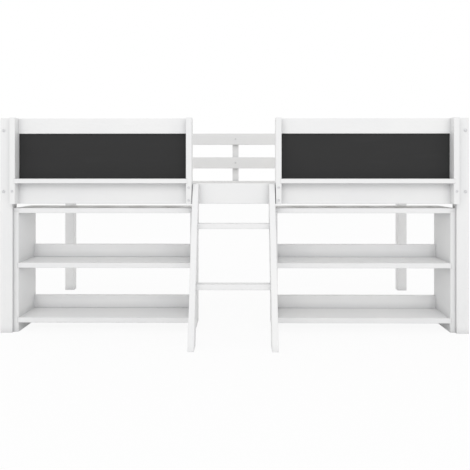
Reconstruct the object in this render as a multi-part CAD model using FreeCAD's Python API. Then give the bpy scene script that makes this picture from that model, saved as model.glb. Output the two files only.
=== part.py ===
"""Mid sleeper bed for a single mattress, with a fixed ladder, chalkboard guards
and two loose bookcases that stand under the bed.

Millimetres. +X runs along the bed to its right end, +Y from the ladder to the back,
+Z up. The origin is on the floor, under the centre of the outer box.
"""
import FreeCAD, Part
import math
import os

from FreeCAD import Vector

# Mattress that the bed takes, with the room left all round it
MATTRESS_LENGTH = 1900.0
MATTRESS_WIDTH = 900.0
MATTRESS_GAP = 3.0

# Legs, side rails and end panels: the guards rise from the rails to the bed's full height
BED_HEIGHT = 923.0
LEG_SIZE = 52.0
GUARD_RISE = 280.0
RAIL_HEIGHT = 88.0
RAIL_THICKNESS = 22.0
TENON_LENGTH = 12.0
TENON_SIDE_SHOULDER = 4.0
TENON_END_SHOULDER = 11.0
END_PANEL_THICKNESS = 22.0
END_PANEL_INSET = 4.0

# Slats and the ledgers that carry them
LEDGER_WIDTH = 25.0
LEDGER_HEIGHT = 25.0
LEDGER_RISE = 10.0
LEDGER_END_GAP = 5.0
SLAT_COUNT = 13
SLAT_WIDTH = 80.0
SLAT_THICKNESS = 18.0
SLAT_END_GAP = 3.0
FIRST_SLAT_GAP = 20.0

# Front guards beside the ladder opening
LADDER_OPENING = 357.0
UPRIGHT_WIDTH = 24.0
UPRIGHT_REACH = 33.0
GUARD_BOARD_HEIGHT = 66.0
GUARD_BOARD_THICKNESS = 22.0
GUARD_BOARD_SETBACK = 11.0
LEDGE_THICKNESS = 20.0
CHALKBOARD_THICKNESS = 6.0
CHALKBOARD_RECESS = 7.0
GROOVE_DEPTH = 7.0

# Back guard
BACK_POST_WIDTH = 36.0

# Ladder: its reach is measured forward from the legs, its treads down from its top
LADDER_SIDE_GAP = 3.0
LADDER_FOOT_REACH = 264.0
LADDER_TOP_REACH = 14.0
LADDER_TOP_DROP = 3.0
STILE_WIDTH = 80.0
STILE_THICKNESS = 25.0
STILE_HOUSING = 8.0
TREAD_DEPTH = 50.0
TREAD_THICKNESS = 22.0
UPPER_TREAD_DROP = 165.0
TREAD_PITCH = 237.0

# Bookcases: their setback is measured from the front of the rail
BOOKCASE_WIDTH = 785.0
BOOKCASE_DEPTH = 211.0
BOOKCASE_SETBACK = 1.0
BOOKCASE_LEG_GAP = 0.5
BOOKCASE_TOP_GAP = 19.0
BOOKCASE_SIDE_THICKNESS = 21.0
SHELF_THICKNESS = 22.0
TOP_REBATE = 8.0
PLINTH_GAP = 40.0
BACK_BOARD_HEIGHT = 58.0
BACK_BOARD_THICKNESS = 20.0

# Joinery shared by the boards
BOARD_HOUSING = 5.0
FIT_CLEARANCE = 0.2
EDGE_RADIUS = 2.5
ARRIS = 1.0

# Bolts and cross dowels of the frame
BOLT_DIAMETER = 6.0
BOLT_HEAD_DIAMETER = 13.0
BOLT_HEAD_HEIGHT = 2.5
BOLT_PAST_DOWEL = 10.0
CROSS_DOWEL_DIAMETER = 10.0
CROSS_DOWEL_LENGTH = 16.0
CROSS_DOWEL_DISTANCE = 40.0
END_BOLT_EDGE = 53.0
RAIL_FIXING_DROP = 17.0
BOLT_CROSSING = 18.0

# Screws of the guards and the ladder
SCREW_DIAMETER = 5.0
SCREW_HEAD_DIAMETER = 10.0
SCREW_HEAD_HEIGHT = 2.0
SCREW_TIP_COVER = 5.0
SCREW_STILE_BITE = 26.0
SCREW_TREAD_BITE = 35.0
INNER_SCREW_SPREAD = 54.0
OUTER_SCREW_RISE = 11.0

# Holes, and the sides of the many small round pieces
BORE_CLEARANCE = 0.2
SHANK_SIDES = 8
HEAD_SIDES = 16

# Outer sizes that follow from the mattress
rail_setback = (LEG_SIZE - RAIL_THICKNESS) / 2
between_legs = MATTRESS_LENGTH + 2 * MATTRESS_GAP
between_rails = MATTRESS_WIDTH + 2 * MATTRESS_GAP
bed_width = between_rails + 2 * (RAIL_THICKNESS + rail_setback)
leg_inner = between_legs / 2
leg_outer = leg_inner + LEG_SIZE

# Front and back planes, with the outer box centred on Y = 0
leg_front = -(bed_width + BOLT_HEAD_HEIGHT - LADDER_FOOT_REACH) / 2
leg_back = leg_front + bed_width
front_rail_y = (leg_front + rail_setback, leg_front + rail_setback + RAIL_THICKNESS)
back_rail_y = (leg_back - rail_setback - RAIL_THICKNESS, leg_back - rail_setback)
rail_z = (BED_HEIGHT - GUARD_RISE - RAIL_HEIGHT, BED_HEIGHT - GUARD_RISE)
rail_fixing_z = rail_z[1] - RAIL_FIXING_DROP
guard_z = (rail_z[0], BED_HEIGHT)
guard_board_z = (BED_HEIGHT - GUARD_BOARD_HEIGHT, BED_HEIGHT)

ALONG_X = Vector(1, 0, 0)
ALONG_Y = Vector(0, 1, 0)
ALONG_Z = Vector(0, 0, 1)
HANDS = ((-1, "left"), (1, "right"))
parts = {}


def sided(side, inner, outer):
    """X range on the left (-1) or right (+1) half of the bed."""
    return tuple(sorted((side * inner, side * outer)))


def grown(span, amount):
    """A range made wider by an amount at both ends."""
    return (span[0] - amount, span[1] + amount)


def centred(centre, size):
    return (centre - size / 2, centre + size / 2)


def middle(span):
    return (span[0] + span[1]) / 2


def block(x, y, z):
    """Plain rectangular block from its three ranges."""
    return Part.makeBox(x[1] - x[0], y[1] - y[0], z[1] - z[0], Vector(x[0], y[0], z[0]))


def edges_along(solid, direction):
    return [edge for edge in solid.Edges
            if edge.tangentAt(edge.FirstParameter).cross(direction).Length < 1e-6]


def eased_board(x, y, z, grain):
    """Board with its four long edges rounded along the grain."""
    board = block(x, y, z)
    return board.makeFillet(EDGE_RADIUS, edges_along(board, grain))


def eased_post(x, y, z):
    """Upright board or leg with rounded edges and a small flat round its top."""
    post = eased_board(x, y, z, ALONG_Z)
    return post.makeChamfer(ARRIS, [edge for edge in post.Edges
                                    if edge.BoundBox.ZMin > z[1] - ARRIS])


def arrised_board(x, y, z):
    """Board with a small flat taken off every edge."""
    board = block(x, y, z)
    return board.makeChamfer(ARRIS, board.Edges)


def rod(start, direction, length, diameter, sides=SHANK_SIDES):
    """Many-sided rod whose flats stand a diameter apart. Fasteners and their bores
    repeat often and lie mostly inside the wood, so they have few faces."""
    turn = FreeCAD.Rotation(ALONG_Z, direction)
    half_step = math.pi / sides
    reach = Vector(diameter / 2 / math.cos(half_step), 0, 0)
    corners = []
    for corner in range(sides):
        swing = FreeCAD.Rotation(ALONG_Z, math.degrees((2 * corner + 1) * half_step))
        corners.append(start + turn.multVec(swing.multVec(reach)))
    return Part.Face(Part.makePolygon(corners + corners[:1])).extrude(direction * length)


def bore(start, direction, length, diameter):
    """Cutter for a hole that clears a rod of the given diameter and length."""
    return rod(start, direction, length + BORE_CLEARANCE, diameter + 2 * BORE_CLEARANCE)


def headed_pin(seat, direction, length, diameter, head_diameter, head_height):
    """Bolt or screw whose head sits outside the seat and whose shank goes in."""
    shank = rod(seat, direction, length, diameter)
    head = rod(seat - direction * head_height, direction, head_height, head_diameter, HEAD_SIDES)
    return head.fuse(shank).removeSplitter()


# Frame bolts: each goes through a leg into a cross dowel in a panel's edge or a rail's end.
# The cross dowel is pushed into a blind pocket from the board's inner face. In each leg
# the bolts cross at different heights, the panel's below the rail's.
bolt_length = LEG_SIZE + CROSS_DOWEL_DISTANCE + BOLT_PAST_DOWEL
end_panel_centre = leg_outer - END_PANEL_INSET - END_PANEL_THICKNESS / 2
end_bolt_heights = (rail_fixing_z - BOLT_CROSSING, guard_z[1] - END_BOLT_EDGE)
frame_bolts = []
cross_dowels = []
frame_cutters = []


def add_frame_bolt(seat, direction, pocket_direction, board_thickness):
    dowel_centre = seat + direction * (LEG_SIZE + CROSS_DOWEL_DISTANCE)
    bolt_hole = bore(seat, direction, bolt_length, BOLT_DIAMETER)
    dowel = rod(dowel_centre - pocket_direction * (CROSS_DOWEL_LENGTH / 2), pocket_direction,
                CROSS_DOWEL_LENGTH, CROSS_DOWEL_DIAMETER)
    pocket = bore(dowel_centre - pocket_direction * (board_thickness / 2), pocket_direction,
                  (board_thickness + CROSS_DOWEL_LENGTH) / 2, CROSS_DOWEL_DIAMETER)
    frame_bolts.append(headed_pin(seat, direction, bolt_length, BOLT_DIAMETER,
                                  BOLT_HEAD_DIAMETER, BOLT_HEAD_HEIGHT))
    cross_dowels.append(dowel.cut(bolt_hole))
    frame_cutters.extend((bolt_hole, pocket))


for side, hand in HANDS:
    outward = ALONG_X * side
    for face_y, into_panel in ((leg_front, ALONG_Y), (leg_back, ALONG_Y * -1)):
        for height in end_bolt_heights:
            add_frame_bolt(Vector(side * end_panel_centre, face_y, height), into_panel,
                           outward, END_PANEL_THICKNESS)
    for rail_y, into_rail in ((front_rail_y, ALONG_Y * -1), (back_rail_y, ALONG_Y)):
        add_frame_bolt(Vector(side * leg_outer, middle(rail_y), rail_fixing_z), outward * -1,
                       into_rail, RAIL_THICKNESS)

frame_bores = Part.makeCompound(frame_cutters)
parts["frame_bolts"] = Part.makeCompound(frame_bolts)
parts["cross_dowels"] = Part.makeCompound(cross_dowels)


# Guard and ladder screws: each goes through one board into the wood behind it.
guard_y = (leg_front - UPRIGHT_REACH, front_rail_y[1])
bay_inner = LADDER_OPENING / 2 + UPRIGHT_WIDTH
bay_outer = leg_inner - UPRIGHT_WIDTH
back_rail_lower_z = centred(middle((rail_z[1], guard_board_z[0])), GUARD_BOARD_HEIGHT)


class ScrewSet:
    """Screws of one kind of joint, with the cutters for their holes."""

    def __init__(self):
        self.screws = []
        self.cutters = []

    def add(self, seat, direction, grip, bite):
        length = grip + bite
        self.screws.append(headed_pin(seat, direction, length, SCREW_DIAMETER,
                                      SCREW_HEAD_DIAMETER, SCREW_HEAD_HEIGHT))
        self.cutters.append(bore(seat, direction, length, SCREW_DIAMETER))


guard_set = ScrewSet()
upright_lap = front_rail_y[0] - guard_y[0]
for side, hand in HANDS:
    for upright_centre, rise in ((bay_inner - UPRIGHT_WIDTH / 2, -INNER_SCREW_SPREAD / 2),
                                 (bay_inner - UPRIGHT_WIDTH / 2, INNER_SCREW_SPREAD / 2),
                                 (bay_outer + UPRIGHT_WIDTH / 2, OUTER_SCREW_RISE)):
        guard_set.add(Vector(side * upright_centre, guard_y[0], middle(rail_z) + rise),
                      ALONG_Y, upright_lap, RAIL_THICKNESS - SCREW_TIP_COVER)
for height in (middle(guard_board_z), middle(back_rail_lower_z), rail_fixing_z):
    guard_set.add(Vector(0, back_rail_y[0], height), ALONG_Y, RAIL_THICKNESS,
                  rail_setback - SCREW_TIP_COVER)
guard_bores = Part.makeCompound(guard_set.cutters)
parts["guard_screws"] = Part.makeCompound(guard_set.screws)

ladder_top_z = rail_z[1] - LADDER_TOP_DROP
ladder_half = LADDER_OPENING / 2 - LADDER_SIDE_GAP
ladder_seat_y = front_rail_y[0]
top_front_y = leg_front - LADDER_TOP_REACH
foot_front_y = leg_front - LADDER_FOOT_REACH
lean = (top_front_y - foot_front_y) / ladder_top_z
foot_back_y = foot_front_y + STILE_WIDTH * math.hypot(1, lean)
ladder_seat_z = (ladder_seat_y - foot_back_y) / lean
tread_sections = {}
upper_tread_top = ladder_top_z - UPPER_TREAD_DROP
for name, tread_top in (("ladder_tread_lower", upper_tread_top - TREAD_PITCH),
                        ("ladder_tread_upper", upper_tread_top)):
    tread_z = (tread_top - TREAD_THICKNESS, tread_top)
    centre_y = middle((foot_front_y, foot_back_y)) + middle(tread_z) * lean
    tread_sections[name] = (centred(centre_y, TREAD_DEPTH), tread_z)

ladder_set = ScrewSet()
for side, hand in HANDS:
    stile_centre = side * (ladder_half - STILE_THICKNESS / 2)
    ladder_set.add(Vector(stile_centre, front_rail_y[1], rail_fixing_z), ALONG_Y * -1,
                   RAIL_THICKNESS, SCREW_STILE_BITE)
    for tread_y, tread_z in tread_sections.values():
        ladder_set.add(Vector(side * ladder_half, middle(tread_y), middle(tread_z)),
                       ALONG_X * -side, STILE_THICKNESS - STILE_HOUSING, SCREW_TREAD_BITE)
ladder_bores = Part.makeCompound(ladder_set.cutters)
parts["ladder_screws"] = Part.makeCompound(ladder_set.screws)


# Side rails and back guard rails: boards with a stub tenon at each end.
def tenon_section(y, z):
    return grown(y, -TENON_SIDE_SHOULDER), grown(z, -TENON_END_SHOULDER)


def tenoned_rail(y, z):
    rail = eased_board((-leg_inner, leg_inner), y, z, ALONG_X)
    tongue = block(grown((-leg_inner, leg_inner), TENON_LENGTH), *tenon_section(y, z))
    rail = rail.fuse(tongue).removeSplitter()
    return rail.cut(frame_bores).cut(guard_bores).cut(ladder_bores)


parts["side_rail_front"] = tenoned_rail(front_rail_y, rail_z)
parts["side_rail_back"] = tenoned_rail(back_rail_y, rail_z)
parts["back_guard_rail_upper"] = tenoned_rail(back_rail_y, guard_board_z)
parts["back_guard_rail_lower"] = tenoned_rail(back_rail_y, back_rail_lower_z)


# Legs: square posts with a mortise for each rail's tenon.
def leg(side, leg_y, rail_y, rail_heights):
    post = eased_post(sided(side, leg_inner, leg_outer), leg_y, (0, BED_HEIGHT))
    mortise_x = sided(side, leg_inner, leg_inner + TENON_LENGTH + FIT_CLEARANCE)
    for height in rail_heights:
        tenon_y, tenon_z = tenon_section(rail_y, height)
        post = post.cut(block(mortise_x, grown(tenon_y, FIT_CLEARANCE),
                              grown(tenon_z, FIT_CLEARANCE)))
    return post.cut(frame_bores)


for side, hand in HANDS:
    parts["leg_front_" + hand] = leg(side, (leg_front, leg_front + LEG_SIZE), front_rail_y,
                                     [rail_z])
    parts["leg_back_" + hand] = leg(side, (leg_back - LEG_SIZE, leg_back), back_rail_y,
                                    [rail_z, back_rail_lower_z, guard_board_z])


# End panels: solid boards that close the ends of the bed between the legs.
for side, hand in HANDS:
    panel = eased_board(centred(side * end_panel_centre, END_PANEL_THICKNESS),
                        (leg_front + LEG_SIZE, leg_back - LEG_SIZE), guard_z, ALONG_Y)
    parts["end_panel_" + hand] = panel.cut(frame_bores)


# Slat ledgers on the rails' inner faces, and the slats that lie on them.
ledger_x = grown((-leg_inner, leg_inner), -LEDGER_END_GAP)
ledger_z = (rail_z[0] + LEDGER_RISE, rail_z[0] + LEDGER_RISE + LEDGER_HEIGHT)
parts["slat_ledger_front"] = arrised_board(
    ledger_x, (front_rail_y[1], front_rail_y[1] + LEDGER_WIDTH), ledger_z)
parts["slat_ledger_back"] = arrised_board(
    ledger_x, (back_rail_y[0] - LEDGER_WIDTH, back_rail_y[0]), ledger_z)

slat_y = grown((front_rail_y[1], back_rail_y[0]), -SLAT_END_GAP)
slat_z = (ledger_z[1], ledger_z[1] + SLAT_THICKNESS)
slat_pitch = (between_legs - 2 * FIRST_SLAT_GAP - SLAT_WIDTH) / (SLAT_COUNT - 1)
for number in range(SLAT_COUNT):
    slat_start = -leg_inner + FIRST_SLAT_GAP + number * slat_pitch
    parts["slat_%02d" % (number + 1)] = arrised_board(
        (slat_start, slat_start + SLAT_WIDTH), slat_y, slat_z)


# Front guards: two uprights lapped over the rail, housing a top board and a ledge,
# with a chalkboard held in grooves all round.
guard_board_y = (leg_front + GUARD_BOARD_SETBACK,
                 leg_front + GUARD_BOARD_SETBACK + GUARD_BOARD_THICKNESS)
chalkboard_y = (guard_board_y[0] + CHALKBOARD_RECESS,
                guard_board_y[0] + CHALKBOARD_RECESS + CHALKBOARD_THICKNESS)
ledge_z = (rail_z[1], rail_z[1] + LEDGE_THICKNESS)
groove_z = grown((ledge_z[1], guard_board_z[0]), GROOVE_DEPTH)
rail_notch = block((-leg_inner, leg_inner), front_rail_y, rail_z)

for side, hand in HANDS:
    housed_x = sided(side, bay_inner - BOARD_HOUSING, bay_outer + BOARD_HOUSING)
    groove_x = sided(side, bay_inner - GROOVE_DEPTH, bay_outer + GROOVE_DEPTH)
    groove = block(groove_x, grown(chalkboard_y, FIT_CLEARANCE), groove_z)
    top_housing = block(housed_x, grown(guard_board_y, FIT_CLEARANCE),
                        (guard_board_z[0], BED_HEIGHT))
    ledge_housing = block(housed_x, guard_y, (ledge_z[0], ledge_z[1] + FIT_CLEARANCE))
    for place, upright_x in (("outer", sided(side, bay_outer, leg_inner)),
                             ("inner", sided(side, LADDER_OPENING / 2, bay_inner))):
        upright = eased_post(upright_x, guard_y, guard_z)
        for cutter in (rail_notch, top_housing, ledge_housing, groove, guard_bores):
            upright = upright.cut(cutter)
        parts["guard_upright_%s_%s" % (hand, place)] = upright
    board_x = grown(housed_x, -FIT_CLEARANCE)
    top_board = eased_board(board_x, guard_board_y, guard_board_z, ALONG_X)
    ledge = eased_board(board_x, guard_y, ledge_z, ALONG_X)
    parts["guard_top_board_" + hand] = top_board.cut(groove)
    parts["chalk_ledge_" + hand] = ledge.cut(groove)
    parts["chalkboard_" + hand] = block(grown(groove_x, -FIT_CLEARANCE), chalkboard_y,
                                        grown(groove_z, -FIT_CLEARANCE))


# Back guard post: it stands behind the back rails, flush with the legs' back.
back_post = eased_post(centred(0, BACK_POST_WIDTH), (back_rail_y[1], leg_back), guard_z)
parts["back_guard_post"] = back_post.cut(guard_bores)


# Ladder: leaning stiles cut plumb where they seat on the rail and level at top and foot,
# with flat treads housed in their inner faces.
tread_reach = ladder_half - STILE_THICKNESS + STILE_HOUSING
for name, (tread_y, tread_z) in tread_sections.items():
    tread = eased_board((-tread_reach, tread_reach), tread_y, tread_z, ALONG_X)
    parts[name] = tread.cut(ladder_bores)

stile_corners = ((foot_front_y, 0), (foot_back_y, 0), (ladder_seat_y, ladder_seat_z),
                 (ladder_seat_y, ladder_top_z), (top_front_y, ladder_top_z), (foot_front_y, 0))
stile_slope = Vector(0, lean, 1).normalize()
for side, hand in HANDS:
    stile_x = sided(side, ladder_half - STILE_THICKNESS, ladder_half)
    outline = Part.makePolygon([Vector(stile_x[0], y, z) for y, z in stile_corners])
    stile = Part.Face(outline).extrude(ALONG_X * STILE_THICKNESS)
    stile = stile.makeFillet(EDGE_RADIUS, edges_along(stile, stile_slope))
    housing_x = sided(side, 0, tread_reach + FIT_CLEARANCE)
    for tread_y, tread_z in tread_sections.values():
        stile = stile.cut(block(housing_x, grown(tread_y, FIT_CLEARANCE),
                                (tread_z[0], tread_z[1] + FIT_CLEARANCE)))
    parts["ladder_stile_" + hand] = stile.cut(ladder_bores)


# Bookcases: the top is rebated over the sides, and the shelves and their low back boards
# are housed in the sides. The joints are glued, so there are no fasteners.
bookcase_height = rail_z[0] - BOOKCASE_TOP_GAP
bookcase_front = front_rail_y[0] + BOOKCASE_SETBACK
bookcase_y = (bookcase_front, bookcase_front + BOOKCASE_DEPTH)
back_board_y = (bookcase_y[1] - BACK_BOARD_THICKNESS, bookcase_y[1])
case_top_z = (bookcase_height - SHELF_THICKNESS, bookcase_height)
rebate_z = (case_top_z[0], case_top_z[0] + TOP_REBATE)
bottom_shelf_z = (PLINTH_GAP, PLINTH_GAP + SHELF_THICKNESS)
middle_shelf_z = centred(middle((bottom_shelf_z[1], case_top_z[0])), SHELF_THICKNESS)
case_outer = leg_inner - BOOKCASE_LEG_GAP
case_inner = case_outer - BOOKCASE_WIDTH
case_bay = grown((case_inner, case_outer), -BOOKCASE_SIDE_THICKNESS)

for side, hand in HANDS:
    case = "bookcase_%s_" % hand
    housed_x = sided(side, *grown(case_bay, BOARD_HOUSING))
    board_x = grown(housed_x, -FIT_CLEARANCE)
    housings = []
    for level, shelf_z in (("middle", middle_shelf_z), ("bottom", bottom_shelf_z)):
        back_board_z = (shelf_z[1], shelf_z[1] + BACK_BOARD_HEIGHT)
        parts[case + level + "_shelf"] = arrised_board(board_x, bookcase_y, shelf_z)
        parts[case + level + "_back_board"] = arrised_board(board_x, back_board_y, back_board_z)
        housings.append(block(housed_x, bookcase_y, shelf_z))
        housings.append(block(housed_x, (back_board_y[0] - FIT_CLEARANCE, back_board_y[1]),
                              (back_board_z[0], back_board_z[1] + FIT_CLEARANCE)))
    top = arrised_board(sided(side, case_inner, case_outer), bookcase_y, case_top_z)
    for place, inner, outer in (("outer", case_bay[1], case_outer),
                                ("inner", case_inner, case_bay[0])):
        panel_x = sided(side, inner, outer)
        panel = arrised_board(panel_x, bookcase_y, (0, rebate_z[1]))
        for housing in housings:
            panel = panel.cut(housing)
        parts[case + place + "_side"] = panel
        top = top.cut(block(panel_x, bookcase_y, rebate_z))
    parts[case + "top"] = top

os.makedirs("parts", exist_ok=True)
for name, shape in parts.items():
    shape.exportStep("parts/%s.step" % name)
print("%d pieces written" % len(parts))
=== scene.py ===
"""Looks of the mid sleeper bed: white lacquered boards, chalkboard guards, white-stained
pine slats and bright steel fasteners, set around the fixed frame. Metres, +Z up.
"""

import math

import bmesh
import bpy
from mathutils import Matrix, Vector


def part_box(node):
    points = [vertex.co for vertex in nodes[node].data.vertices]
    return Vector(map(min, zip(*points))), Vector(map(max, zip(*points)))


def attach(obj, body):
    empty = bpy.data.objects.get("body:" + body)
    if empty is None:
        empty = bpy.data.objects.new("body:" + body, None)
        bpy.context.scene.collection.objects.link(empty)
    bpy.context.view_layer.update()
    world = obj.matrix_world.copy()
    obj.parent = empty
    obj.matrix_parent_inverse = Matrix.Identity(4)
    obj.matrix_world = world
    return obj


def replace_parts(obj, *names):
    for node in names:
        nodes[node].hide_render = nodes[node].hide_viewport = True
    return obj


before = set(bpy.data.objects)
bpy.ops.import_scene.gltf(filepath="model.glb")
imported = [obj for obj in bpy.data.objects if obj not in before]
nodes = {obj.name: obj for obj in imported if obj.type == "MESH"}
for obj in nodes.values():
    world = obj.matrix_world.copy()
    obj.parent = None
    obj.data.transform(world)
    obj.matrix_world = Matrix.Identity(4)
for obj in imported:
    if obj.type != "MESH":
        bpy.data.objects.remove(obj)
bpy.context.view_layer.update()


# Legs
# Four square posts of planed pine, sanded, primed and sprayed with satin white lacquer.
# Their long edges are rounded and a small flat runs round each top, where the coat is thin.
LACQUER_WHITE = (0.88, 0.88, 0.878, 1.0)
LACQUER_CLOUD = (0.855, 0.857, 0.86, 1.0)
LACQUER_THIN = (0.83, 0.824, 0.81, 1.0)
# Grey of the painted shade in inner corners and between parts.
LACQUER_CORNER_SHADE = (0.72, 0.722, 0.727, 1.0)
FIBRES_ALONG = 5.0
FIBRES_ACROSS = 120.0
FIBRE_RELIEF = 0.0006
SPRAY_GRAINS = 700.0
SPRAY_RELIEF = 0.00004
CLOUDS = 4.0
THIN_EDGE = 0.0016
EDGE_PROBES = 4
EDGE_FLAT = 0.995
EDGE_TURNED = 0.75
CORNER_SHADE_REACH = 0.035
CORNER_PROBES = 8
CORNER_OPEN = 0.97
CORNER_SHELTERED = 0.4
SATIN_GLOSS = 0.3
SATIN_ROUGHNESS = (0.42, 0.52)


def new_material(name):
    material = bpy.data.materials.new(name)
    material.use_nodes = True
    return material, material.node_tree, material.node_tree.nodes["Principled BSDF"]


def board_coordinates(tree, grain, along, across, tilt=0.0):
    """Object coordinates in pattern repeats per metre along and across the grain.
    A tilt turns the board about X first, for grain that leans."""
    coordinates = tree.nodes.new("ShaderNodeTexCoord")
    vector = coordinates.outputs["Object"]
    if tilt:
        level = tree.nodes.new("ShaderNodeMapping")
        level.inputs["Rotation"].default_value = (tilt, 0, 0)
        tree.links.new(vector, level.inputs["Vector"])
        vector = level.outputs["Vector"]
    repeats = tree.nodes.new("ShaderNodeMapping")
    repeats.inputs["Scale"].default_value = [along if axis == grain else across for axis in "xyz"]
    tree.links.new(vector, repeats.inputs["Vector"])
    return repeats.outputs["Vector"]


def noise(tree, vector, scale, detail):
    texture = tree.nodes.new("ShaderNodeTexNoise")
    texture.inputs["Scale"].default_value = scale
    texture.inputs["Detail"].default_value = detail
    tree.links.new(vector, texture.inputs["Vector"])
    return texture.outputs["Fac"]


def shades(tree, factor, low, high, start=0.35, end=0.65):
    """Colour that goes from low to high as a factor goes from start to end."""
    blend = tree.nodes.new("ShaderNodeValToRGB")
    for stop, position, colour in zip(blend.color_ramp.elements, (start, end), (low, high)):
        stop.position = position
        stop.color = colour
    tree.links.new(factor, blend.inputs["Fac"])
    return blend.outputs["Color"]


def levels(tree, factor, low, high, start=0.3, end=0.7):
    """Number that goes from low to high as a factor goes from start to end."""
    scaled = tree.nodes.new("ShaderNodeMapRange")
    for socket, value in zip(("From Min", "From Max", "To Min", "To Max"), (start, end, low, high)):
        scaled.inputs[socket].default_value = value
    tree.links.new(factor, scaled.inputs["Value"])
    return scaled.outputs["Result"]


def tinted(tree, factor, colour, tint):
    """A colour that gives way to a tint where the factor is 1."""
    mix = tree.nodes.new("ShaderNodeMix")
    mix.data_type = "RGBA"
    colours = [socket for socket in mix.inputs if socket.type == "RGBA"]
    tree.links.new(factor, mix.inputs[0])
    tree.links.new(colour, colours[0])
    colours[1].default_value = tint
    return [socket for socket in mix.outputs if socket.type == "RGBA"][0]


def relief(tree, height, depth, normal=None):
    bump = tree.nodes.new("ShaderNodeBump")
    bump.inputs["Distance"].default_value = depth
    tree.links.new(height, bump.inputs["Height"])
    if normal:
        tree.links.new(normal, bump.inputs["Normal"])
    return bump.outputs["Normal"]


def thin_edges(tree, reach):
    """1 where a face turns within the reach and 0 on the flat, with the softened normal."""
    softened = tree.nodes.new("ShaderNodeBevel")
    softened.samples = EDGE_PROBES
    softened.inputs["Radius"].default_value = reach
    geometry = tree.nodes.new("ShaderNodeNewGeometry")
    agreement = tree.nodes.new("ShaderNodeVectorMath")
    agreement.operation = "DOT_PRODUCT"
    tree.links.new(softened.outputs["Normal"], agreement.inputs[0])
    tree.links.new(geometry.outputs["Normal"], agreement.inputs[1])
    turned = levels(tree, agreement.outputs["Value"], 0.0, 1.0, EDGE_FLAT, EDGE_TURNED)
    return turned, softened.outputs["Normal"]


def painted_corner_shade(tree, reach):
    """Painted shade: 1 deep in an inner corner and 0 on open faces, where other faces are past the
    reach, to darken the colour where shade falls.
    """
    shelter = tree.nodes.new("ShaderNodeAmbientOcclusion")
    shelter.samples = CORNER_PROBES
    shelter.inputs["Distance"].default_value = reach
    return levels(tree, shelter.outputs["AO"], 1.0, 0.0, CORNER_SHELTERED, CORNER_OPEN)


def white_lacquer(name, grain=None, tilt=0.0):
    """Sprayed lacquer on wood whose fibres show faintly, or on a board without grain."""
    material, tree, shader = new_material(name)
    flat = board_coordinates(tree, grain, 1.0, 1.0)
    clouds = noise(tree, flat, CLOUDS, 3)
    spray = noise(tree, flat, SPRAY_GRAINS, 2)
    turned, softened = thin_edges(tree, THIN_EDGE)
    coat = shades(tree, clouds, LACQUER_CLOUD, LACQUER_WHITE)
    worn = tinted(tree, turned, coat, LACQUER_THIN)
    # Painted shade: the colour turns grey in inner corners and between parts, where shade falls.
    corner_shaded = tinted(tree, painted_corner_shade(tree, CORNER_SHADE_REACH), worn, LACQUER_CORNER_SHADE)
    tree.links.new(corner_shaded, shader.inputs["Base Color"])
    shader.inputs["Specular IOR Level"].default_value = SATIN_GLOSS
    shader.inputs["Roughness"].default_value = sum(SATIN_ROUGHNESS) / 2
    ground = softened
    if grain:
        drawn = board_coordinates(tree, grain, FIBRES_ALONG, FIBRES_ACROSS, tilt)
        fibres = noise(tree, drawn, 1.0, 4)
        tree.links.new(levels(tree, fibres, *SATIN_ROUGHNESS), shader.inputs["Roughness"])
        ground = relief(tree, fibres, FIBRE_RELIEF, softened)
    tree.links.new(relief(tree, spray, SPRAY_RELIEF, ground), shader.inputs["Normal"])
    return material


def dress(material, *names):
    """Give these nodes of the frame a finish."""
    for name in names:
        nodes[name].material_slots[0].material = material


upright_lacquer = white_lacquer("lacquer_grain_upright", "z")
dress(upright_lacquer, "leg_front_left", "leg_front_right", "leg_back_left", "leg_back_right")


# Side rails and end panels
# Pine boards in the same white lacquer. The rails run the length of the bed with a stub
# tenon at each end, and the panels close its ends. Bolts pull them against the legs.
lengthwise_lacquer = white_lacquer("lacquer_grain_lengthwise", "x")
crosswise_lacquer = white_lacquer("lacquer_grain_crosswise", "y")
dress(lengthwise_lacquer, "side_rail_front", "side_rail_back")
dress(crosswise_lacquer, "end_panel_left", "end_panel_right")


# Frame bolts
# Zinc-plated steel bolts with a low round head and a hex socket, which go through the legs.
# The heads are cold-formed, so the rim is rounded and the socket's mouth is sharp.
STEEL = (0.76, 0.76, 0.77, 1.0)
STEEL_WORN = (0.62, 0.62, 0.635, 1.0)
STEEL_PATCHES = 260.0
SCRATCHES_ALONG = 60.0
SCRATCHES_ACROSS = 900.0
SCRATCH_RELIEF = 0.00002
STEEL_ROUGHNESS = (0.26, 0.44)
SAME_PLACE = 1e-6
HEAD_SHARE = 0.9
SHANK_SHARE = 0.8
TURNED_STEPS = 36
RIM_ROUNDING = 0.0009
RIM_STEPS = 4
HEX_SIDES = 6
BOLT_SOCKET_WIDTH = 0.005
BOLT_SOCKET_DEPTH = 0.0018
SHANK_POINT = 0.001
SHARP_TURN = math.radians(35)


def plated_steel(name, grain):
    material, tree, shader = new_material(name)
    flat = board_coordinates(tree, grain, 1.0, 1.0)
    drawn = board_coordinates(tree, grain, SCRATCHES_ALONG, SCRATCHES_ACROSS)
    patches = noise(tree, flat, STEEL_PATCHES, 4)
    scratches = noise(tree, drawn, 1.0, 2)
    shader.inputs["Metallic"].default_value = 1.0
    tree.links.new(shades(tree, patches, STEEL_WORN, STEEL), shader.inputs["Base Color"])
    tree.links.new(levels(tree, scratches, *STEEL_ROUGHNESS), shader.inputs["Roughness"])
    tree.links.new(relief(tree, scratches, SCRATCH_RELIEF), shader.inputs["Normal"])
    return material


steel = plated_steel("zinc_plated_steel", "z")


def solids_of(name):
    """Corner points of each separate solid in a node of the frame."""
    form = bmesh.new()
    form.from_mesh(nodes[name].data)
    bmesh.ops.remove_doubles(form, verts=form.verts, dist=SAME_PLACE)
    left = set(form.verts)
    solids = []
    while left:
        reached = [left.pop()]
        for vert in reached:
            beside = [edge.other_vert(vert) for edge in vert.link_edges]
            fresh = [other for other in beside if other in left]
            left.difference_update(fresh)
            reached.extend(fresh)
        solids.append([vert.co.copy() for vert in reached])
    form.free()
    return solids


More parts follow.
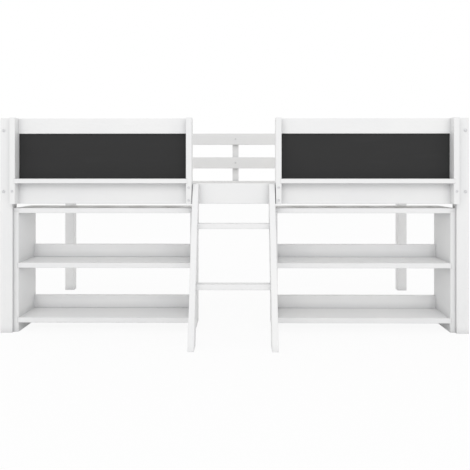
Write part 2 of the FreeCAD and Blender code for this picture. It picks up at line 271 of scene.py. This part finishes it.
class Fastener:
    """Place and sizes of one bolt, screw or dowel, read from its solid: the axis is its
    longest side, and it points from the head, or from its low end, to the tip."""

    def __init__(self, corners):
        low = Vector([min(corner[i] for corner in corners) for i in range(3)])
        high = Vector([max(corner[i] for corner in corners) for i in range(3)])
        size = high - low
        self.axis = max(range(3), key=lambda i: size[i])
        self.centre = (low + high) / 2
        self.length = size[self.axis]
        self.direction = Vector([1.0 if i == self.axis else 0.0 for i in range(3)])
        reaches = [(self.reach(corner), corner[self.axis]) for corner in corners]
        self.head_radius = max(reach for reach, along in reaches)
        head = [along for reach, along in reaches if reach > HEAD_SHARE * self.head_radius]
        self.head_height = max(head) - min(head)
        if sum(head) / len(head) > self.centre[self.axis]:
            self.direction.negate()
        self.top = self.centre - self.direction * (self.length / 2)
        inner = [reach for reach, along in reaches if reach < SHANK_SHARE * self.head_radius]
        self.shank_radius = min(inner) if inner else self.head_radius

    def reach(self, corner):
        offset = corner - self.centre
        return (offset - self.direction * offset.dot(self.direction)).length

    def placed(self):
        """Matrix that takes a form with its top at the origin, pointing +Z, to this place."""
        turn = Vector((0, 0, 1)).rotation_difference(self.direction)
        return Matrix.Translation(self.top) @ turn.to_matrix().to_4x4()


def turned(profile):
    """Mesh turned about Z from a profile of radius and depth, closed at the axis."""
    form = bmesh.new()
    points = [form.verts.new((radius, 0, depth)) for radius, depth in profile]
    line = [form.edges.new(pair) for pair in zip(points, points[1:])]
    bmesh.ops.spin(form, geom=points + line, cent=(0, 0, 0), axis=(0, 0, 1),
                   angle=2 * math.pi, steps=TURNED_STEPS, use_merge=True)
    bmesh.ops.remove_doubles(form, verts=form.verts, dist=SAME_PLACE)
    bmesh.ops.recalc_face_normals(form, faces=form.faces)
    return form


def radius_of(vert):
    return math.hypot(vert.co.x, vert.co.y)


def round_rim(form, radius, depth, rounding):
    """Round the circle of edges at a radius and depth."""
    circle = {vert for vert in form.verts
              if math.hypot(radius_of(vert) - radius, vert.co.z - depth) < SAME_PLACE}
    rim = [edge for edge in form.edges if circle.issuperset(edge.verts)]
    bmesh.ops.bevel(form, geom=rim, offset=rounding, segments=RIM_STEPS, profile=0.5,
                    affect="EDGES", material=-1)


def make_hex(form, radius, width):
    """Move the round wall at a radius onto a hexagon of the given width across flats."""
    step = 2 * math.pi / HEX_SIDES
    for vert in form.verts:
        if abs(radius_of(vert) - radius) < SAME_PLACE:
            angle = math.atan2(vert.co.y, vert.co.x) % step - step / 2
            swell = width / 2 / math.cos(angle) / radius
            vert.co.x *= swell
            vert.co.y *= swell


def socket_bolt(fastener, socket_width, socket_depth):
    """One bolt or screw with a hex socket, its head's top at the origin."""
    head, shank = fastener.head_radius, fastener.shank_radius
    seat = fastener.head_height
    profile = ((0, socket_depth), (socket_width / 2, socket_depth), (socket_width / 2, 0),
               (head, 0), (head, seat), (shank, seat), (shank, fastener.length - SHANK_POINT),
               (shank - SHANK_POINT, fastener.length), (0, fastener.length))
    form = turned(profile)
    make_hex(form, socket_width / 2, socket_width)
    round_rim(form, head, 0, RIM_ROUNDING)
    return form


def steel_piece(name, forms):
    """One piece of plated steel on the bed's frame, joined from many forms already in place.
    Round walls are shaded smooth, and edges that turn sharply stay crisp."""
    whole = bpy.data.meshes.new(name)
    joined = bmesh.new()
    for form in forms:
        form.to_mesh(whole)
        form.free()
        joined.from_mesh(whole)
    for face in joined.faces:
        face.smooth = True
    for edge in joined.edges:
        edge.smooth = edge.calc_face_angle(math.pi) < SHARP_TURN
    joined.to_mesh(whole)
    joined.free()
    piece = bpy.data.objects.new(name, whole)
    bpy.context.scene.collection.objects.link(piece)
    whole.materials.append(steel)
    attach(piece, "bed_frame")
    return piece


def set_of(name, node, shape):
    """One piece that stands for a node's whole set of fasteners, each made by shape."""
    forms = []
    for corners in solids_of(node):
        fastener = Fastener(corners)
        form = shape(fastener)
        bmesh.ops.transform(form, matrix=fastener.placed(), verts=form.verts)
        forms.append(form)
    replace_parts(steel_piece(name, forms), node)


def frame_bolt(fastener):
    return socket_bolt(fastener, BOLT_SOCKET_WIDTH, BOLT_SOCKET_DEPTH)


set_of("socket_bolts", "frame_bolts", frame_bolt)


# Cross dowels
# Turned steel barrels that take the bolts' threads, let into blind pockets in the rails and
# panels. A screwdriver slot in the end that shows lines the threaded hole up with the bolt.
DOWEL_CHAMFER = 0.0006
DOWEL_SLOT_WIDTH = 0.0014
DOWEL_SLOT_DEPTH = 0.0015
END_FACING = 0.99
ACROSS_X = Vector((1, 0, 0))
ACROSS_Y = Vector((0, 1, 0))
bed_low, bed_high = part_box("side_rail_front")[0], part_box("side_rail_back")[1]
bed_middle = (bed_low + bed_high) / 2


def end_faces(form):
    """Faces of the end that shows, which looks down -Z before the form is placed."""
    return [face for face in form.faces if face.normal.z < -END_FACING]


def score(form, across, half_width):
    """Cut the end that shows along two lines, half a width to each side of its middle."""
    for side in (-1, 1):
        end = end_faces(form)
        cut = end + list({edge for face in end for edge in face.edges})
        cut += list({vert for face in end for vert in face.verts})
        bmesh.ops.bisect_plane(form, geom=cut, plane_co=across * side * half_width, plane_no=across)


def sink(form, faces, depth):
    """Push some faces of the end that shows into the form."""
    sunk = bmesh.ops.extrude_face_region(form, geom=faces)["geom"]
    bmesh.ops.delete(form, geom=faces, context="FACES_ONLY")
    bmesh.ops.translate(form, verts=[item for item in sunk if isinstance(item, bmesh.types.BMVert)],
                        vec=(0, 0, depth))
    bmesh.ops.recalc_face_normals(form, faces=form.faces)


def slotted_dowel(dowel):
    if (bed_middle - dowel.centre).dot(dowel.direction) > 0:
        dowel.direction.negate()
        dowel.top = dowel.centre - dowel.direction * (dowel.length / 2)
    radius, length = dowel.head_radius, dowel.length
    form = turned(((0, 0), (radius, 0), (radius, length), (0, length)))
    round_rim(form, radius, 0, DOWEL_CHAMFER)
    round_rim(form, radius, length, DOWEL_CHAMFER)
    half_width = DOWEL_SLOT_WIDTH / 2
    score(form, ACROSS_X, half_width)
    slot = [face for face in end_faces(form) if abs(face.calc_center_median().x) < half_width]
    sink(form, slot, DOWEL_SLOT_DEPTH)
    return form


set_of("slotted_dowels", "cross_dowels", slotted_dowel)


# Slat ledgers and slats
# Planed pine with a thin white stain. The ledgers are battens on the rails' inner faces, and
# the slats lie across them, flat-sawn, with long growth rings and a few small knots.
PINE_EARLY = (0.84, 0.828, 0.80, 1.0)
PINE_LATE = (0.77, 0.745, 0.70, 1.0)
PINE_KNOT = (0.60, 0.545, 0.47, 1.0)
PINE_FLECK = (0.80, 0.78, 0.745, 1.0)
PINE_RINGS = 95.0
RINGS_ALONG = 0.9
RINGS_ACROSS = 7.0
PINE_FIBRES_ALONG = 9.0
PINE_FIBRES_ACROSS = 520.0
PINE_FIBRE_RELIEF = 0.0003
PINE_ROUGHNESS = (0.55, 0.75)
FLECK_SHARE = 0.45
KNOTS_ALONG = 2.2
KNOTS_ACROSS = 9.0
KNOT_HEART = 0.05
KNOT_RIM = 0.13


def stained_pine(name, grain):
    material, tree, shader = new_material(name)
    broad = board_coordinates(tree, grain, RINGS_ALONG, RINGS_ACROSS)
    drawn = board_coordinates(tree, grain, PINE_FIBRES_ALONG, PINE_FIBRES_ACROSS)
    spots = board_coordinates(tree, grain, KNOTS_ALONG, KNOTS_ACROSS)
    growth = noise(tree, broad, 1.0, 2)
    rings = tree.nodes.new("ShaderNodeMath")
    rings.operation = "MULTIPLY"
    rings.inputs[1].default_value = PINE_RINGS
    tree.links.new(growth, rings.inputs[0])
    wave = tree.nodes.new("ShaderNodeMath")
    wave.operation = "SINE"
    tree.links.new(rings.outputs["Value"], wave.inputs[0])
    fibres = noise(tree, drawn, 1.0, 3)
    knots = tree.nodes.new("ShaderNodeTexVoronoi")
    tree.links.new(spots, knots.inputs["Vector"])
    knot = levels(tree, knots.outputs["Distance"], 1.0, 0.0, KNOT_HEART, KNOT_RIM)
    wood = shades(tree, wave.outputs["Value"], PINE_EARLY, PINE_LATE, start=0.1, end=1.0)
    flecks = levels(tree, fibres, 0.0, FLECK_SHARE, start=0.45, end=0.75)
    flecked = tinted(tree, flecks, wood, PINE_FLECK)
    tree.links.new(tinted(tree, knot, flecked, PINE_KNOT), shader.inputs["Base Color"])
    tree.links.new(levels(tree, fibres, *PINE_ROUGHNESS), shader.inputs["Roughness"])
    tree.links.new(relief(tree, fibres, PINE_FIBRE_RELIEF), shader.inputs["Normal"])
    return material


dress(stained_pine("stained_pine_lengthwise", "x"), "slat_ledger_front", "slat_ledger_back")
slat_names = sorted(name for name in nodes if name.startswith("slat_") and "ledger" not in name)
dress(stained_pine("stained_pine_crosswise", "y"), *slat_names)


# Slat and ledger screws
# Countersunk wood screws with a cross recess, driven by hand: one down through each end of
# every slat into its ledger, and a row through each ledger into its rail.
WOOD_SCREW_HEAD = 0.0036
WOOD_SCREW_SHANK = 0.0018
WOOD_SCREW_TAPER = 0.0022
WOOD_SCREW_POINT = 0.0054
SLAT_SCREW_LENGTH = 0.035
LEDGER_SCREW_LENGTH = 0.04
LEDGER_SCREW_COUNT = 7
HEAD_PROUD = 0.0002
RECESS_REACH = 0.0019
RECESS_WIDTH = 0.0009
RECESS_DEPTH = 0.0011


def cross_recess(form):
    """Sink a cross into a flat head."""
    for across in (ACROSS_X, ACROSS_Y):
        for half_width in (RECESS_REACH, RECESS_WIDTH / 2):
            score(form, across, half_width)
    cross = []
    for face in end_faces(form):
        middle = face.calc_center_median()
        nearer, farther = sorted((abs(middle.x), abs(middle.y)))
        if nearer < RECESS_WIDTH / 2 and farther < RECESS_REACH:
            cross.append(face)
    sink(form, cross, RECESS_DEPTH)


def wood_screw(top, direction, length):
    form = turned(((0, 0), (WOOD_SCREW_HEAD, 0), (WOOD_SCREW_SHANK, WOOD_SCREW_TAPER),
                   (WOOD_SCREW_SHANK, length - WOOD_SCREW_POINT), (0, length)))
    cross_recess(form)
    turn = Vector((0, 0, 1)).rotation_difference(direction).to_matrix().to_4x4()
    place = Matrix.Translation(top - direction * HEAD_PROUD) @ turn
    bmesh.ops.transform(form, matrix=place, verts=form.verts)
    return form


slat_screws = []
ledger_screws = []
for side in ("front", "back"):
    low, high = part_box("slat_ledger_" + side)
    middle = (low + high) / 2
    for name in slat_names:
        slat_low, slat_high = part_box(name)
        over = Vector(((slat_low.x + slat_high.x) / 2, middle.y, slat_high.z))
        slat_screws.append(wood_screw(over, Vector((0, 0, -1)), SLAT_SCREW_LENGTH))
    into_rail = Vector((0, -1 if side == "front" else 1, 0))
    inner_face = high.y if side == "front" else low.y
    for i in range(LEDGER_SCREW_COUNT):
        along = low.x + (high.x - low.x) * (i + 0.5) / LEDGER_SCREW_COUNT
        ledger_screws.append(wood_screw(Vector((along, inner_face, middle.z)), into_rail,
                                        LEDGER_SCREW_LENGTH))
steel_piece("slat_wood_screws", slat_screws)
steel_piece("ledger_wood_screws", ledger_screws)


# Front guards
# Lacquered pine boards. Each pair of uprights is lapped over the rail, and a top board and
# a ledge for chalks are housed between them.
for hand in ("left", "right"):
    dress(upright_lacquer, "guard_upright_%s_outer" % hand, "guard_upright_%s_inner" % hand)
    dress(lengthwise_lacquer, "guard_top_board_" + hand, "chalk_ledge_" + hand)


# Chalkboards
# Hardboard panels with matt black chalkboard paint, held in grooves on all four sides.
# The rolled paint is faintly uneven, with the haze that wiped chalk leaves.
BOARD_BLACK = (0.017, 0.017, 0.0173, 1.0)
BOARD_HAZE = (0.029, 0.029, 0.0293, 1.0)
WIPES_ALONG = 2.5
WIPES_ACROSS = 14.0
ROLLER_GRAINS = 650.0
ROLLER_RELIEF = 0.00012
BOARD_ROUGHNESS = (0.72, 0.88)


def chalkboard_paint():
    material, tree, shader = new_material("chalkboard_paint")
    flat = board_coordinates(tree, "x", 1.0, 1.0)
    wiped = board_coordinates(tree, "x", WIPES_ALONG, WIPES_ACROSS)
    haze = noise(tree, wiped, 1.0, 5)
    roller = noise(tree, flat, ROLLER_GRAINS, 3)
    tree.links.new(shades(tree, haze, BOARD_BLACK, BOARD_HAZE, start=0.4, end=0.8),
                   shader.inputs["Base Color"])
    tree.links.new(levels(tree, haze, *BOARD_ROUGHNESS), shader.inputs["Roughness"])
    tree.links.new(relief(tree, roller, ROLLER_RELIEF), shader.inputs["Normal"])
    return material


dress(chalkboard_paint(), "chalkboard_left", "chalkboard_right")


# Back guard
# Two lacquered rails tenoned into the back legs, and one post behind them at mid length
# that keeps them from bending outwards.
dress(lengthwise_lacquer, "back_guard_rail_upper", "back_guard_rail_lower")
dress(upright_lacquer, "back_guard_post")


# Guard and ladder screws
# Smaller socket screws of the same steel, which hold the uprights and the post to the rails,
# the ladder to the rail and the stiles to the treads.
SCREW_SOCKET_WIDTH = 0.004
SCREW_SOCKET_DEPTH = 0.0015


def socket_screw(fastener):
    return socket_bolt(fastener, SCREW_SOCKET_WIDTH, SCREW_SOCKET_DEPTH)


set_of("guard_socket_screws", "guard_screws", socket_screw)
set_of("ladder_socket_screws", "ladder_screws", socket_screw)


# Ladder
# Two leaning stiles cut plumb where they seat on the rail, with two flat treads housed in
# them, all in white lacquer. The stiles' grain leans with them.
STILE_TOP_BAND = 0.001
stile_low, stile_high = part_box("ladder_stile_left")
stile_corners = [vert.co for vert in nodes["ladder_stile_left"].data.vertices]
top_front = min(corner.y for corner in stile_corners if stile_high.z - corner.z < STILE_TOP_BAND)
stile_lean = math.atan2(top_front - stile_low.y, stile_high.z)
leaning_lacquer = white_lacquer("lacquer_grain_leaning", "z", tilt=stile_lean)
dress(leaning_lacquer, "ladder_stile_left", "ladder_stile_right")
dress(lengthwise_lacquer, "ladder_tread_lower", "ladder_tread_upper")


# Bookcases
# Two loose cases of fine fibreboard with the same lacquer, so their faces show no grain.
# The top laps over the sides, and the shelves with their low back boards are housed in them.
board_lacquer = white_lacquer("lacquer_fibreboard")
for name in nodes:
    if name.startswith("bookcase"):
        dress(board_lacquer, name)


# Floor
# A plain white studio floor. It looks almost as bright as the backdrop and keeps a faint
# shadow of the bed.
FLOOR_SIZE = 24.0
FLOOR_WHITE = (0.85, 0.85, 0.85, 1.0)
FLOOR_ROUGHNESS = 0.9
FLOOR_GLOW = 0.92
floor_form = bmesh.new()
bmesh.ops.create_grid(floor_form, x_segments=1, y_segments=1, size=FLOOR_SIZE / 2)
floor_mesh = bpy.data.meshes.new("studio_floor")
floor_form.to_mesh(floor_mesh)
floor_form.free()
floor = bpy.data.objects.new("studio_floor", floor_mesh)
bpy.context.scene.collection.objects.link(floor)


def seen_directly(tree, unseen, seen):
    """One strength for rays from the camera and from mirrors and glass, another for light."""
    rays = tree.nodes.new("ShaderNodeLightPath")
    either = rays.outputs["Is Camera Ray"]
    for kind in ("Is Glossy Ray", "Is Transmission Ray"):
        larger = tree.nodes.new("ShaderNodeMath")
        larger.operation = "MAXIMUM"
        tree.links.new(either, larger.inputs[0])
        tree.links.new(rays.outputs[kind], larger.inputs[1])
        either = larger.outputs["Value"]
    return levels(tree, either, unseen, seen, start=0.0, end=1.0)


floor_paint, tree, shader = new_material("studio_floor_paint")
shader.inputs["Base Color"].default_value = FLOOR_WHITE
shader.inputs["Roughness"].default_value = FLOOR_ROUGHNESS
glow = tree.nodes.new("ShaderNodeEmission")
mix = tree.nodes.new("ShaderNodeMixShader")
tree.links.new(seen_directly(tree, 0.0, FLOOR_GLOW), mix.inputs["Fac"])
tree.links.new(shader.outputs["BSDF"], mix.inputs[1])
tree.links.new(glow.outputs["Emission"], mix.inputs[2])
tree.links.new(mix.outputs["Shader"], tree.nodes["Material Output"].inputs["Surface"])
floor_mesh.materials.append(floor_paint)


# Light
# A white room that lights the bed evenly from all sides, and one large soft lamp in front
# and above. The room itself looks plain white.
ROOM_LIGHT = 0.9
LAMP_POWER = 33.0
LAMP_WIDTH = 4.0
LAMP_HEIGHT = 2.0
LAMP_PLACE = Vector((0.0, -4.2, 2.6))
LAMP_AIM = Vector((0.0, 0.0, 0.6))
world = bpy.data.worlds.new("white_room")
bpy.context.scene.world = world
world.use_nodes = True
room = world.node_tree.nodes["Background"]
room.inputs["Color"].default_value = (1.0, 1.0, 1.0, 1.0)
world.node_tree.links.new(seen_directly(world.node_tree, ROOM_LIGHT, 1.0), room.inputs["Strength"])

lamp = bpy.data.lights.new("front_lamp", "AREA")
lamp.shape = "RECTANGLE"
lamp.size = LAMP_WIDTH
lamp.size_y = LAMP_HEIGHT
lamp.energy = LAMP_POWER
front_lamp = bpy.data.objects.new("front_lamp", lamp)
front_lamp.location = LAMP_PLACE
front_lamp.rotation_euler = (LAMP_AIM - LAMP_PLACE).to_track_quat("-Z", "Y").to_euler()
bpy.context.scene.collection.objects.link(front_lamp)


# Camera
# It stands in front of the ladder, a little right of the middle and just above the rail,
# level, with the frame shifted down so that the legs' feet show.
SENSOR_WIDTH = 36.0
FRAME_PIXELS = 470
FOCAL_PIXELS = 580.611
HORIZON_ROW = 174.4745
CAMERA_SIDE = 0.0269
CAMERA_DISTANCE = 2.489
CAMERA_HEIGHT = 0.681
CAMERA_TURN = 0.0087
lens = bpy.data.cameras.new("camera")
lens.sensor_width = SENSOR_WIDTH
lens.lens = FOCAL_PIXELS * SENSOR_WIDTH / FRAME_PIXELS
lens.shift_y = (HORIZON_ROW - FRAME_PIXELS / 2) / FRAME_PIXELS
camera = bpy.data.objects.new("camera", lens)
front_of_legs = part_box("leg_front_left")[0].y
camera.location = (CAMERA_SIDE, front_of_legs - CAMERA_DISTANCE, CAMERA_HEIGHT)
camera.rotation_euler = (math.pi / 2, 0, CAMERA_TURN)
bpy.context.scene.collection.objects.link(camera)
bpy.context.scene.camera = camera
bpy.context.scene.view_settings.view_transform = "Standard"
